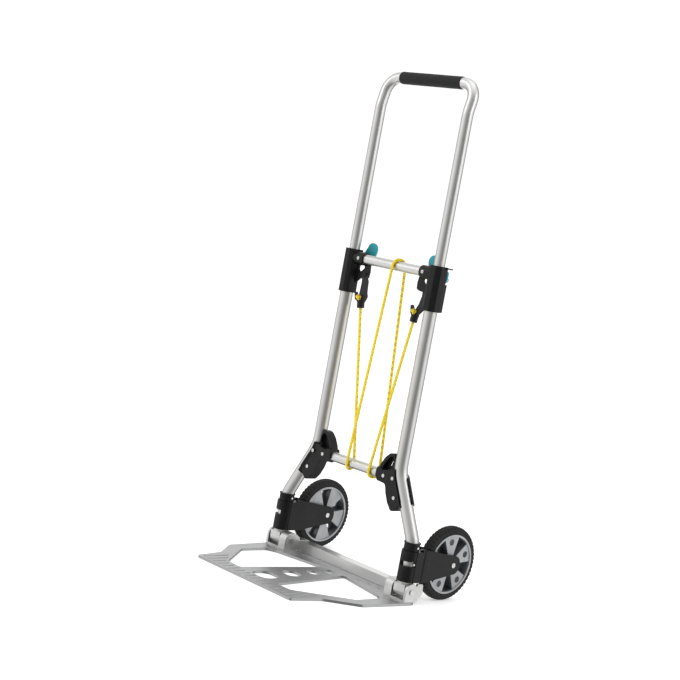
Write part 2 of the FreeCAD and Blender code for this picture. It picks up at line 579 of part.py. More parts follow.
for s, side in SIDES:
    centre = P3(s * hf, ab, wr)
    # rim band, hub, a corrugated disc: five raised pads on the outer face with
    # a round hole each, five recesses between them
    band = Part.makeCylinder(rr, 2 * hw, V(-hw, 0, 0), xdir).cut(Part.makeCylinder(rr - 4.2, 2 * hw + 2, V(-hw - 1, 0, 0), xdir))
    hub = Part.makeCylinder(13.5, 2 * val("hub_half_width"), V(-val("hub_half_width"), 0, 0), xdir)
    parts = [band, hub]
    for a in PADS:
        pad = wedge(12.0, rr - 3.0, a, 30.0, 18.5, hw - 6.0, hw - 2.2)
        hole = Part.makeCylinder(7.2, 40, V(-20, 0, 0) + polar(0.745 * rr, a, 0), xdir)
        parts.append(pad.cut(hole))
        parts.append(wedge(12.0, rr - 3.0, a + 36.0, 10.0, 18.5, -hw + 2.2, -hw + 6.0))
        for e in (-1, 1):
            # flank wall joining the raised pad to the recess floor
            parts.append(wedge(12.0, rr - 3.0, a + e * 18.0, 6.0, 2.4, -hw + 2.2, hw - 2.2))
    wheel = parts[0].fuse(parts[1:])
    wheel = wheel.cut(Part.makeCylinder(val("bush_radius"), 60, V(-30, 0, 0), xdir))
    wheel = wheel.removeSplitter()
    rot = FreeCAD.Rotation() if s > 0 else FreeCAD.Rotation(V(0, 0, 1), 180.0)
    shape = wheel if s > 0 else wheel.mirror(V(0, 0, 0), V(1, 0, 0))
    node(feature("wheel_rim_" + side, Part.makeCompound([shape]).Solids[0], FreeCAD.Placement(centre, FreeCAD.Rotation())), "wheel_rim_" + side)

    # tyre: one turned section on the rim band
    body = doc.addObject("PartDesign::Body", "tyre_" + side)
    sk = body.newObject("Sketcher::SketchObject", "tyre_section_" + side)
    plane = [o for o in body.Origin.OriginFeatures if o.Role == "XY_Plane"][0]
    sk.AttachmentSupport = [(plane, "")]
    sk.MapMode = "FlatFace"
    h2 = tw / 2.0
    draw(sk, [(-h2, rr), (h2, rr), (h2, wr - 5.0, 4), (h2 - 5.5, wr, 5), (-h2 + 5.5, wr, 5), (-h2, wr - 5.0, 4)])
    rev = body.newObject("PartDesign::Revolution", "tyre_turn_" + side)
    rev.Profile = sk
    rev.ReferenceAxis = (sk, ["H_Axis"])
    rev.Angle = 360.0
    body.Tip = rev
    body.Placement = FreeCAD.Placement(centre, FreeCAD.Rotation())
    node(body, "tyre_" + side)
    node(tube("wheel_bush_" + side, S("bush_radius"), S("axle_radius") + " + 0.06", S("hub_half_width") + " * 2",
              centre - xdir * val("hub_half_width"), xdir), "wheel_bush_" + side)

# ================================================================= platform
dh, ds, df = val("deck_height"), val("deck_sheet"), val("deck_front")
half = [(0, 27.0), (158.5, 27.0, 3), (160.5, 16.5, 2), (223, 16.5, 7), (229.5, 2, 6), (229.0, -14, 8), (220.0, -133, 14), (168.5, -199, 16), (153.0, -df, 5), (0, -df)]
full = half + [(-p[0],) + tuple(p[1:]) for p in reversed(half[1:-1])]
full = [p for p in full if not (p[0] == 0)]
cut_half = [(60, -234, 7), (104, -231, 10), (188, -122, 12), (188, -50, 14), (166, -37, 16), (33, -10, 4)]
holes_mid = [(-211, 27, 25), (-137, 21, 20), (-73, 15, 15.5), (-25, 13, 13)]


def offset_outline(points, d):
    """The closed outline moved d to its left, with the same fillets."""
    n = len(points)
    area = sum(points[i - 1][0] * points[i][1] - points[i][0] * points[i - 1][1] for i in range(n))
    if area < 0:
        d = -d
    out = []
    for i in range(n):
        p0, p1, p2 = points[i - 1], points[i], points[(i + 1) % n]
        a = V(p1[0] - p0[0], p1[1] - p0[1], 0).normalize()
        b = V(p2[0] - p1[0], p2[1] - p1[1], 0).normalize()
        na, nb = V(-a.y, a.x, 0), V(-b.y, b.x, 0)
        k = d / (1.0 + na.dot(nb))
        q = V(p1[0], p1[1], 0) + (na + nb) * k
        out.append((q.x, q.y) + ((max(p1[2] - (d if area > 0 else -d), 0.6),) if len(p1) > 2 else ()))
    return out


flange = 2.4
deck = solid_of(rounded(full), V(0, 0, dh))
hollow = solid_of(rounded(offset_outline([(p[0], p[1]) + ((p[2],) if len(p) > 2 else ()) for p in full], flange)), V(0, 0, dh - ds))
for s in (1, -1):
    window = flip(cut_half, s)
    deck = deck.cut(solid_of(rounded(window), V(0, 0, dh + 2)).translated(V(0, 0, -1)))
    hollow = hollow.cut(solid_of(rounded(offset_outline(window, -flange)), V(0, 0, dh)))
for y, a, b in holes_mid:
    oval = [(a, y + b, 0.72 * a), (-a, y + b, 0.72 * a), (-a, y - b, 0.72 * a), (a, y - b, 0.72 * a)]
    deck = deck.cut(solid_of(rounded(oval), V(0, 0, dh + 2)).translated(V(0, 0, -1)))
    hollow = hollow.cut(solid_of(rounded(offset_outline(oval, -flange)), V(0, 0, dh)))
deck = deck.cut(hollow)
for s in (1, -1):
    for x in (64, 98, 128):
        deck = deck.cut(solid_of(rounded([(s * x - 6.5, 3.2, 1.5), (s * x + 6.5, 3.2, 1.5), (s * x + 6.5, 6.8, 1.5), (s * x - 6.5, 6.8, 1.5)]), V(0, 0, dh + 2)).translated(V(0, 0, -1)))
node(feature("platform_deck", sorted(deck.Solids, key=lambda q: -q.Volume)[0], FreeCAD.Placement(P3(0, 0, 0), FreeCAD.Rotation())), "platform_deck")

# hollow beam across the back of the platform
bf, br, bb, bt, bw = (val("beam_" + k) for k in ("front", "rear", "bottom", "top", "wall"))
half_beam = val("inner_ear_in") - 1.5
beam = box("beam_outer", "2 * (" + S("inner_ear_in") + " - 1.5)", S("beam_rear") + " - " + S("beam_front"), S("beam_top") + " - " + S("beam_bottom"), P3(-half_beam, bf, bb))
beam_in = box("beam_inner", "2 * " + S("inner_ear_in"), S("beam_rear") + " - " + S("beam_front") + " - 2 * " + S("beam_wall"),
              S("beam_top") + " - " + S("beam_bottom") + " - 2 * " + S("beam_wall"), P3(-half_beam - 1.5, bf + bw, bb + bw))
groove = box("beam_groove", "2 * " + S("inner_ear_in"), "1.1", "3.2", P3(-half_beam - 1.5, bf - 0.1, bb + 3.4))
node(cut("cross_beam", cut("beam_tube", beam, beam_in), groove), "cross_beam")

lr = val("lobe_radius")
for s, side in SIDES:
    ei, eo = val("inner_ear_in"), val("inner_ear_out")
    oi, oo = val("outer_ear_in"), val("outer_ear_out")
    a = math.radians(60)
    inner_outline = [(-18.0, dh), (-18.0, pv + 17.9, 16.5), (9.0, pv + 17.6, 8), (25.0, pv + 7.5, 5), (27.0, bt + 1.2, 2), (br, bt + 1.2, 2), (br, bb + 1, 2), (20.0, bb + 1, 1), (18.0, dh)]
    outer_outline = [(-18.0, dh, 3), (-18.0, pv + 17.9, 16.5), (8.0, pv + 17.9, 7), (10.5, pv + 12.5, 1.5), (14.0, pv + 12.5, 1.5), (15.0, pv + 17.6, 2.5), (31.0, pv + 16.6, 4), (33.5, pv - 4.0, 6), (22.0, 10.0, 6), (14.5, dh)]
    inner = pad_body("clevis_inner_" + side, inner_outline, S("inner_ear_out") + " - " + S("inner_ear_in"), stand_yz(s * ei if s > 0 else -eo))
    outer = pad_body("clevis_outer_" + side, outer_outline, S("outer_ear_out") + " - " + S("outer_ear_in"), stand_yz(s * oi if s > 0 else -oo))
    x_lo = ei if s > 0 else -oo
    web = box("clevis_web_" + side, S("outer_ear_out") + " - " + S("inner_ear_in"), "34", "4.2", P3(x_lo, -18.0, dh))
    spig_x = half_beam - 22.0 if s > 0 else -ei
    spigot = box("clevis_spigot_" + side, "23.5", S("beam_rear") + " - " + S("beam_front") + " - 2 * " + S("beam_wall") + " - 0.1",
                 S("beam_top") + " - " + S("beam_bottom") + " - 2 * " + S("beam_wall") + " - 0.1", P3(spig_x, bf + bw + 0.05, bb + bw + 0.05))
    heel = box("clevis_heel_" + side, "1.5", S("beam_rear") + " - " + S("beam_front"), S("beam_top") + " - " + S("beam_bottom") + " - 2", P3(half_beam if s > 0 else -ei, bf, bb + 1))
    solid = fuse("clevis_solid_" + side, [inner, outer, web, spigot, heel])
    node(cut("hinge_clevis_" + side, solid, cylinder("clevis_hole_" + side, S("pivot_pin_radius"), "120", P3(s * hf - 60, 0, pv), xdir)), "hinge_clevis_" + side)
    x_in, x_out = ei, oo
    shank = cylinder("pivot_shank_" + side, S("pivot_pin_radius"), "64", P3(s * ei, 0, pv), xdir * s)
    head = cylinder("pivot_head_" + side, "6.6", "2.2", P3(s * oo, 0, pv), xdir * s)
    tail = cylinder("pivot_tail_" + side, "6.5", "1.6", P3(s * ei, 0, pv), -xdir * s)
    node(fuse("pivot_pin_" + side, [shank, head, tail]), "pivot_pin_" + side)
rivets = []
for s, side in SIDES:
    for i, (x, y) in enumerate(((173.5, -21.5), (200.0, -23.5))):
        rivets.append(cylinder("deck_rivet_%s_%d" % (side, i), "2.8", "0.8", P3(s * x, y - 1.5, dh), zdir))
node(compound("deck_rivets", rivets), "deck_rivets")

# ======================================================= elastic cord and hooks
cr, cw = val("cord_radius"), val("cord_wrap")
SOCKET = {1: (86.5, 0.0, 583.0), -1: (-78.5, 0.0, 585.0)}
off = cw + 0.4
route = [
    (SOCKET[-1][0], 0.0, SOCKET[-1][2], 0),
    (-22.5, off, zb_lo - off, cw), (-19.0, -off, zb_lo - off, cw),
    (10.5, -off, zb_hi + off, cw), (19.0, off, zb_hi + off, cw),
    (57.0, off, zb_lo - off, cw), (49.5, -off, zb_lo - off, cw),
    (SOCKET[1][0], 0.0, SOCKET[1][2], 0)]
cord_wire, radii = bent_path([(p[0], p[1] + YO, p[2], p[3]) for p in route])
cord = swept(cord_wire, cr)
print("cord bend radii", radii, "length", round(cord_wire.Length, 1),
      "volume", round(cord.Volume, 1), "section x length", round(math.pi * cr * cr * cord_wire.Length, 1))
node(feature("elastic_cord", cord), "elastic_cord")

# flat outline of each hook above its socket: the left one hangs straight down
# from the beak, the right one leans out to its peg beside the sleeve
STRAP = {
    -1: [(-85, 596.5, 2), (-98, 602, 5), (-102.5, 617, 2.4), (-98, 619.5, 2.2), (-93.5, 611, 4), (-87, 613, 4), (-85.5, 640, 8), (-87.5, 659, 5.6), (-81.5, 665.2, 5.6), (-75.5, 659, 5.6),
         (-69.5, 645, 8), (-67.5, 622, 8), (-63.5, 612, 6), (-71, 596.5, 2)],
    1: [(80.5, 596.5, 2), (77.0, 602, 5), (73.5, 617, 2.4), (78, 620, 2.2), (82.5, 611, 4), (90, 611, 4), (97, 624, 6), (101.5, 641, 6), (101.3, 652, 5.2), (107, 657.3, 5.2), (112.3, 652, 5),
        (112.3, 630, 8), (110, 612, 7), (95, 596.5, 2)]}
for s, side in SIDES:
    ex, ey, ez = SOCKET[s]
    nxt = route[1] if s < 0 else route[-2]
    down = V(nxt[0] - ex, nxt[1] - ey, nxt[2] - ez).normalize()
    end = P3(ex, ey, ez)
    top_pt = end - down * 17.0
    socket = cylinder("hook_socket_" + side, "8.4", "17", end, -down)
    shoulder = cylinder("hook_shoulder_" + side, "9.0", "3.5", end - down * 13.5, -down)
    eye_x, eye_z = PEG[s]
    strap = pad_body("hook_strap_" + side, STRAP[s], "6", stand_xz(2.0))
    solid = fuse("hook_solid_" + side, [socket, shoulder, strap])
    ball_at = end - down * 23.8 + V(0, -8.0, 0)
    neck_from = end - down * 12.0
    lean = (ball_at - neck_from).normalize()
    pocket = doc.addObject("Part::Sphere", "hook_pocket_" + side)
    pocket.Radius = 7.1
    pocket.Placement.Base = ball_at
    throat = cylinder("hook_throat_" + side, S("cord_radius") + " + 0.15", "14", neck_from, lean)
    mouth = cylinder("hook_mouth_" + side, "6.2", "30", ball_at, zdir - ydir * 0.9)
    seat = cylinder("hook_bore_" + side, S("cord_radius"), "22.2", end + down * 10.0, -down)
    peg = cylinder("hook_eye_" + side, "3.1", "40", P3(eye_x, 20.0, eye_z), -ydir)
    node(cut("cord_hook_" + side, solid, compound("hook_tools_" + side, [pocket, throat, mouth, seat, peg])), "cord_hook_" + side)
    knot = doc.addObject("Part::Sphere", "cord_knot_ball_" + side)
    knot.Radius = 6.6
    knot.Placement.Base = ball_at
    stub = cylinder("cord_knot_stub_" + side, S("cord_radius"), "12.2", end, -down)
    link = cylinder("cord_knot_link_" + side, S("cord_radius") + " - 0.15", "11", neck_from + lean * 0.7, lean)
    node(fuse("cord_knot_" + side, [knot, stub, link]), "cord_knot_" + side)

# ==================================================================== write
doc.recompute()
bad = [o.Name for o in doc.Objects if "Invalid" in o.State or "Error" in o.State]
if bad:
    raise SystemExit("objects failed: " + ", ".join(bad))
names = [o.Label for o in NODES]
assert len(set(names)) == len(names) and len(names) <= 60
os.makedirs("parts", exist_ok=True)
for o in NODES:
    shape = o.Shape
    if shape.isNull() or not shape.isValid() or shape.Volume <= 0:
        raise SystemExit("bad shape: " + o.Label)
for o in NODES:
    print("%-24s solids %2d volume %10.1f  box %s" % (
        o.Label, len(o.Shape.Solids), o.Shape.Volume,
        " ".join("%.1f" % q for q in (o.Shape.BoundBox.XMin, o.Shape.BoundBox.XMax, o.Shape.BoundBox.YMin, o.Shape.BoundBox.YMax, o.Shape.BoundBox.ZMin, o.Shape.BoundBox.ZMax))))
    o.Shape.exportStep(os.path.join("parts", o.Label + ".step"))
print(len(NODES), "nodes")
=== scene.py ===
import bpy
import bmesh
import math
from mathutils import Vector, Matrix, noise


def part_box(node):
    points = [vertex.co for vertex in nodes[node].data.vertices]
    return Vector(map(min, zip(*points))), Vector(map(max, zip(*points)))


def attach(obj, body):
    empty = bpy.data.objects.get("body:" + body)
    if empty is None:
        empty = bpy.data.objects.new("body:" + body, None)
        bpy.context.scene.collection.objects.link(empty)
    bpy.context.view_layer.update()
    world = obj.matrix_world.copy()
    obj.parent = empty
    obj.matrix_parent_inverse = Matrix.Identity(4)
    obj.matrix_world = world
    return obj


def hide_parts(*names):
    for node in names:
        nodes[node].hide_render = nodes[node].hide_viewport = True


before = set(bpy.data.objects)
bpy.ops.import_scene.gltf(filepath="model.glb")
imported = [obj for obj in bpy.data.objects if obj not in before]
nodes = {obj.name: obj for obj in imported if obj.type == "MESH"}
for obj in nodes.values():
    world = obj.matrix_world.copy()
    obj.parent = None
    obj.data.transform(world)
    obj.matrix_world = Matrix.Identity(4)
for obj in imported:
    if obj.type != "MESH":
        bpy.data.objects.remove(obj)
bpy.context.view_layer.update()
scene = bpy.context.scene

YO = 0.03775          # the tube plane sits this far behind the origin
HT = 0.131            # half distance between the tubes
HF = 0.203            # half distance between the feet
SIDES = ((1, "right"), (-1, "left"))


# ------------------------------------------------------------------ materials
def new_mat(name):
    m = bpy.data.materials.new(name)
    m.use_nodes = True
    nt = m.node_tree
    return m, nt, nt.nodes["Principled BSDF"]


def put(nt, kind, **props):
    n = nt.nodes.new(kind)
    for k, v in props.items():
        if k in n.inputs:
            n.inputs[k].default_value = v
        else:
            setattr(n, k, v)
    return n


def coords(nt, scale=(1, 1, 1), rotation=(0, 0, 0), source="Object"):
    tc = nt.nodes.new("ShaderNodeTexCoord")
    mp = nt.nodes.new("ShaderNodeMapping")
    mp.inputs["Scale"].default_value = scale
    mp.inputs["Rotation"].default_value = rotation
    nt.links.new(tc.outputs[source], mp.inputs["Vector"])
    return mp.outputs["Vector"]


def noise_tex(nt, vec, scale, detail=3.0, rough=0.5, distortion=0.0):
    n = nt.nodes.new("ShaderNodeTexNoise")
    n.inputs["Scale"].default_value = scale
    n.inputs["Detail"].default_value = detail
    n.inputs["Roughness"].default_value = rough
    n.inputs["Distortion"].default_value = distortion
    nt.links.new(vec, n.inputs["Vector"])
    return n.outputs["Fac"]


def ramp(nt, fac, stops):
    r = nt.nodes.new("ShaderNodeValToRGB")
    el = r.color_ramp.elements
    while len(el) < len(stops):
        el.new(0.5)
    for e, (p, c) in zip(el, stops):
        e.position = p
        e.color = (c, c, c, 1) if isinstance(c, (int, float)) else (c[0], c[1], c[2], 1)
    nt.links.new(fac, r.inputs["Fac"])
    return r.outputs["Color"]


def mix_col(nt, fac, a, b):
    m = nt.nodes.new("ShaderNodeMix")
    m.data_type = "RGBA"
    for sock, v in ((m.inputs[0], fac), (m.inputs[6], a), (m.inputs[7], b)):
        if isinstance(v, bpy.types.NodeSocket):
            nt.links.new(v, sock)
        elif isinstance(v, (int, float)):
            sock.default_value = v
        else:
            sock.default_value = (v[0], v[1], v[2], 1)
    return m.outputs[2]


def calc(nt, op, a, b=None, c=None, clamp=False):
    m = nt.nodes.new("ShaderNodeMath")
    m.operation = op
    m.use_clamp = clamp
    for i, v in enumerate((a, b, c)):
        if v is None:
            continue
        if isinstance(v, bpy.types.NodeSocket):
            nt.links.new(v, m.inputs[i])
        else:
            m.inputs[i].default_value = v
    return m.outputs[0]


def bump(nt, bsdf, height, strength, distance=0.001, base=None):
    b = nt.nodes.new("ShaderNodeBump")
    b.inputs["Strength"].default_value = strength
    b.inputs["Distance"].default_value = distance
    nt.links.new(height, b.inputs["Height"])
    if base is not None:
        nt.links.new(base, b.inputs["Normal"])
    nt.links.new(b.outputs["Normal"], bsdf.inputs["Normal"])
    return b.outputs["Normal"]


def soft_edge(nt, radius):
    b = nt.nodes.new("ShaderNodeBevel")
    b.samples = 4
    b.inputs["Radius"].default_value = radius
    return b.outputs["Normal"]


def drawn_metal(name, base, along="Z", rough=(0.30, 0.44), edge=None):
    """Drawn or brushed aluminium: fine lines along one direction, soft tone changes."""
    m, nt, p = new_mat(name)
    k = {"Z": (1, 1, 0.006), "X": (0.006, 1, 1), "Y": (1, 0.006, 1)}[along]
    lines = noise_tex(nt, coords(nt, k), 1500.0, 2.0, 0.6)
    soft = noise_tex(nt, coords(nt), 14.0, 3.0, 0.55)
    smudge = noise_tex(nt, coords(nt, tuple(0.25 + 0.75 * c for c in k)), 60.0, 4.0, 0.6)
    col = mix_col(nt, ramp(nt, soft, ((0.3, 0.0), (0.7, 1.0))), [c * 0.93 for c in base], base)
    col = mix_col(nt, calc(nt, "MULTIPLY", ramp(nt, lines, ((0.35, 0.0), (0.65, 1.0))), 0.18), col, [c * 0.78 for c in base])
    nt.links.new(col, p.inputs["Base Color"])
    mixr = calc(nt, "ADD", calc(nt, "MULTIPLY", lines, 0.6), calc(nt, "MULTIPLY", smudge, 0.4))
    nt.links.new(ramp(nt, mixr, ((0.3, rough[0]), (0.7, rough[1]))), p.inputs["Roughness"])
    p.inputs["Metallic"].default_value = 1.0
    bump(nt, p, lines, 0.10, 0.0002, soft_edge(nt, edge) if edge else None)
    return m


def cast_metal(name, base, rough=(0.34, 0.5), grain=900.0):
    m, nt, p = new_mat(name)
    fine = noise_tex(nt, coords(nt), grain, 4.0, 0.65)
    soft = noise_tex(nt, coords(nt), 40.0, 3.0, 0.55)
    col = mix_col(nt, ramp(nt, soft, ((0.3, 0.0), (0.75, 1.0))), [c * 0.80 for c in base], base)
    col = mix_col(nt, calc(nt, "MULTIPLY", ramp(nt, fine, ((0.4, 0.0), (0.62, 1.0))), 0.22), col, [c * 0.62 for c in base])
    nt.links.new(col, p.inputs["Base Color"])
    nt.links.new(ramp(nt, fine, ((0.3, rough[0]), (0.7, rough[1]))), p.inputs["Roughness"])
    p.inputs["Metallic"].default_value = 1.0
    bump(nt, p, fine, 0.22, 0.0004, soft_edge(nt, 0.0009))
    return m


def moulded(name, base, rough=(0.36, 0.52), grain=2600.0, lift=0.05, edge=0.0006, bumpiness=0.10, spec=0.5):
    """Moulded plastic: spark-eroded grain, slightly paler on rubbed places."""
    m, nt, p = new_mat(name)
    fine = noise_tex(nt, coords(nt), grain, 2.0, 0.6)
    mid = noise_tex(nt, coords(nt), 120.0, 4.0, 0.6)
    soft = noise_tex(nt, coords(nt), 22.0, 3.0, 0.5)
    pale = [c + (1 - c) * lift for c in base]
    col = mix_col(nt, calc(nt, "MULTIPLY", ramp(nt, mid, ((0.45, 0.0), (0.8, 1.0))), 0.5), base, pale)
    col = mix_col(nt, calc(nt, "MULTIPLY", ramp(nt, soft, ((0.35, 0.0), (0.7, 1.0))), 0.35), col, [c * 0.75 for c in base])
    nt.links.new(col, p.inputs["Base Color"])
    nt.links.new(ramp(nt, calc(nt, "ADD", calc(nt, "MULTIPLY", fine, 0.5), calc(nt, "MULTIPLY", soft, 0.5)), ((0.35, rough[0]), (0.68, rough[1]))), p.inputs["Roughness"])
    p.inputs["Specular IOR Level"].default_value = spec
    bump(nt, p, fine, bumpiness, 0.0003, soft_edge(nt, edge) if edge else None)
    return m


ALU = (0.73, 0.725, 0.712)
mat_tube_z = drawn_metal("tube_drawn_upright", ALU, "Z")
mat_tube_x = drawn_metal("tube_drawn_across", ALU, "X")
mat_deck = drawn_metal("deck_sheet", (0.47, 0.472, 0.475), "Y", (0.34, 0.50), 0.0008)
mat_beam = drawn_metal("beam_sheet", (0.72, 0.718, 0.71), "X", (0.28, 0.42), 0.0007)
mat_cast = cast_metal("cast_aluminium", (0.76, 0.76, 0.75))
mat_steel = cast_metal("zinc_plated_steel", (0.72, 0.72, 0.71), (0.16, 0.30), 500.0)
mat_black = moulded("black_moulded", (0.0055, 0.0056, 0.0060), (0.32, 0.46), 2600.0, 0.012, 0.0008, 0.08, 0.26)
mat_black_smooth = moulded("black_moulded_smooth", (0.0075, 0.0077, 0.0085), (0.28, 0.42), 1800.0, 0.014, 0.0006, 0.05, 0.34)
mat_teal = moulded("turquoise_moulded", (0.012, 0.36, 0.42), (0.30, 0.42), 1500.0, 0.04, 0.0008, 0.05)
mat_bush = moulded("natural_nylon", (0.66, 0.65, 0.60), (0.30, 0.45), 1500.0, 0.04, 0.0004, 0.05)


# ------------------------------------------------------------------- mesh help
def make_obj(name, verts, faces, mat, smooth=True, uvs=None):
    me = bpy.data.meshes.new(name)
    me.from_pydata([tuple(v) for v in verts], [], faces)
    me.update()
    if uvs is not None:
        layer = me.uv_layers.new(name="UVMap")
        for poly in me.polygons:
            for li, vi in zip(poly.loop_indices, poly.vertices):
                layer.data[li].uv = uvs[poly.index][list(poly.vertices).index(vi)]
    for poly in me.polygons:
        poly.use_smooth = smooth
    ob = bpy.data.objects.new(name, me)
    scene.collection.objects.link(ob)
    if mat is not None:
        me.materials.append(mat)
    return ob


def lathe(profile, segs, centre, axis="X", radial=None):
    """Closed ring of a closed (x, r) profile; radial(i, j) scales or shifts r."""
    verts, faces = [], []
    n = len(profile)
    for j in range(segs):
        a = 2 * math.pi * j / segs
        for i, (x, r) in enumerate(profile):
            rr, xx = (r, x) if radial is None else radial(i, j, x, r)
            y, z = rr * math.cos(a), rr * math.sin(a)
            verts.append((centre[0] + xx, centre[1] + y, centre[2] + z))
    for j in range(segs):
        k = (j + 1) % segs
        for i in range(n):
            l = (i + 1) % n
            faces.append((j * n + i, j * n + l, k * n + l, k * n + i))
    return verts, faces


def fix_normals(ob):
    bm = bmesh.new()
    bm.from_mesh(ob.data)
    bmesh.ops.recalc_face_normals(bm, faces=bm.faces)
    bm.to_mesh(ob.data)
    bm.free()
    ob.data.update()


# ------------------------------------------------- cord first, then the camera
CR = 0.00325
LO, HI, OFF = 0.2475, 0.693, 0.0145
corners = [
    (-0.0785, 0.0, 0.585),
    (-0.0225, OFF, LO - OFF), (-0.0190, -OFF, LO - OFF),
    (0.0105, -OFF, HI + OFF), (0.0190, OFF, HI + OFF),
    (0.0570, OFF, LO - OFF), (0.0495, -OFF, LO - OFF),
    (0.0865, 0.0, 0.583),
]
# listed extra points on the straight stretches, about six diameters from each bar and socket
extra = {
    0: [(-0.0727, 0.0015, 0.5484), (-0.0276, 0.0132, 0.2650)],
    2: [(-0.0167, -0.0145, 0.2705), (0.0082, -0.0145, 0.6700)],
    4: [(0.0220, 0.0145, 0.6700), (0.0540, 0.0145, 0.2705)],
    6: [(0.0531, -0.0131, 0.2672), (0.0824, -0.0016, 0.5442)],
}
route = []
for i, c in enumerate(corners):
    route.append(c)
    route.extend(extra.get(i, []))
route = [Vector((x, y + YO, z)) for x, y, z in route]

line = bpy.data.curves.new("cord_line", "CURVE")
line.dimensions = "3D"
sp = line.splines.new("NURBS")
sp.points.add(len(route) - 1)
for pt, co in zip(sp.points, route):
    pt.co = (co.x, co.y, co.z, 1.0)
sp.order_u = 3
sp.use_endpoint_u = True
sp.resolution_u = 96
line_ob = bpy.data.objects.new("cord_line", line)
scene.collection.objects.link(line_ob)
poly = bpy.data.meshes.new_from_object(line_ob)
pts = [v.co.copy() for v in poly.vertices]
bpy.data.objects.remove(line_ob)
path = [pts[0]]
for q in pts[1:-1]:
    if (q - path[-1]).length > 0.0008:
        path.append(q)
path.append(pts[-1])
cord_len = sum((path[i + 1] - path[i]).length for i in range(len(path) - 1))


def tube_along(name, path, radius, sides, mat, ripple=None, closed_ends=True):
    verts, faces, uvs = [], [], []
    n = len(path)
    t0 = (path[1] - path[0]).normalized()
    ref = Vector((0, 1, 0)) if abs(t0.y) < 0.9 else Vector((1, 0, 0))
    u = (ref - t0 * ref.dot(t0)).normalized()
    length = 0.0
    lens = []
    for i in range(n):
        t = (path[min(i + 1, n - 1)] - path[max(i - 1, 0)]).normalized()
        u = (u - t * u.dot(t)).normalized()
        w = t.cross(u)
        if i:
            length += (path[i] - path[i - 1]).length
        lens.append(length)
        for j in range(sides):
            a = 2 * math.pi * j / sides
            r = radius * (ripple(length, a) if ripple else 1.0)
            verts.append(path[i] + (u * math.cos(a) + w * math.sin(a)) * r)
    for i in range(n - 1):
        for j in range(sides):
            k = (j + 1) % sides
            faces.append((i * sides + j, i * sides + k, (i + 1) * sides + k, (i + 1) * sides + j))
            a, b = j / sides, (j + 1) / sides
            uvs.append(((a, lens[i]), (b, lens[i]), (b, lens[i + 1]), (a, lens[i + 1])))
    if closed_ends:
        faces.append(tuple(reversed(range(sides))))
        uvs.append(tuple((0.5, 0.0) for _ in range(sides)))
        faces.append(tuple((n - 1) * sides + j for j in range(sides)))
        uvs.append(tuple((0.5, length) for _ in range(sides)))
    return make_obj(name, verts, faces, mat, True, uvs)


def cord_material():
    m, nt, p = new_mat("braided_cord")
    tc = nt.nodes.new("ShaderNodeTexCoord")
    sep = nt.nodes.new("ShaderNodeSeparateXYZ")
    nt.links.new(tc.outputs["UV"], sep.inputs[0])
    u, v = sep.outputs[0], sep.outputs[1]
    # two families of strands crossing, one picked over the other
    a = calc(nt, "ADD", calc(nt, "MULTIPLY", u, 8.0), calc(nt, "MULTIPLY", v, 300.0))
    b = calc(nt, "SUBTRACT", calc(nt, "MULTIPLY", u, 8.0), calc(nt, "MULTIPLY", v, 300.0))
    fa, fb = calc(nt, "FRACT", a), calc(nt, "FRACT", b)
    ha = calc(nt, "SUBTRACT", 1.0, calc(nt, "MULTIPLY", calc(nt, "ABSOLUTE", calc(nt, "SUBTRACT", fa, 0.5)), 2.0))
    hb = calc(nt, "SUBTRACT", 1.0, calc(nt, "MULTIPLY", calc(nt, "ABSOLUTE", calc(nt, "SUBTRACT", fb, 0.5)), 2.0))
    height = calc(nt, "MULTIPLY", ha, hb)
    # dark tracer yarns: one in each family, so they show as flecks on alternate sides
    ta = calc(nt, "FRACT", calc(nt, "ADD", u, calc(nt, "MULTIPLY", v, 75.0)))
    tb = calc(nt, "FRACT", calc(nt, "ADD", calc(nt, "SUBTRACT", u, calc(nt, "MULTIPLY", v, 75.0)), 0.5))
    over = calc(nt, "GREATER_THAN", calc(nt, "FRACT", calc(nt, "MULTIPLY", v, 150.0)), 0.5)
    ma = calc(nt, "MULTIPLY", calc(nt, "LESS_THAN", ta, 0.16), over)
    mb = calc(nt, "MULTIPLY", calc(nt, "LESS_THAN", tb, 0.16), calc(nt, "SUBTRACT", 1.0, over))
    fleck = calc(nt, "MAXIMUM", ma, mb)
    fray = noise_tex(nt, coords(nt), 1400.0, 3.0, 0.6)
    yellow = mix_col(nt, ramp(nt, fray, ((0.3, 0.0), (0.7, 1.0))), (0.95, 0.72, 0.010), (1.0, 0.84, 0.02))
    # painted shade: where the braid height is low, in the hollows between crossing strands, the yellow is darkened
    yellow = mix_col(nt, calc(nt, "MULTIPLY", calc(nt, "SUBTRACT", 1.0, height), 0.35), yellow, (0.66, 0.44, 0.008))
    col = mix_col(nt, calc(nt, "MULTIPLY", fleck, 0.80), yellow, (0.36, 0.20, 0.02))
    nt.links.new(col, p.inputs["Base Color"])
    nt.links.new(ramp(nt, fray, ((0.3, 0.55), (0.7, 0.75))), p.inputs["Roughness"])
    p.inputs["Sheen Weight"].default_value = 0.25
    p.inputs["Sheen Roughness"].default_value = 0.4
    bump(nt, p, calc(nt, "ADD", height, calc(nt, "MULTIPLY", fray, 0.25)), 0.55, 0.0005)
    return m


mat_cord = cord_material()


def strand_ripple(length, a):
    return 0.955 + 0.045 * math.cos(8 * a + 2 * math.pi * length / 0.0105) * math.cos(8 * a - 2 * math.pi * length / 0.0105)


cord = tube_along("elastic_cord_braid", path, CR, 16, mat_cord, strand_ripple)
fix_normals(cord)
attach(cord, "frame")
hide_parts("elastic_cord")


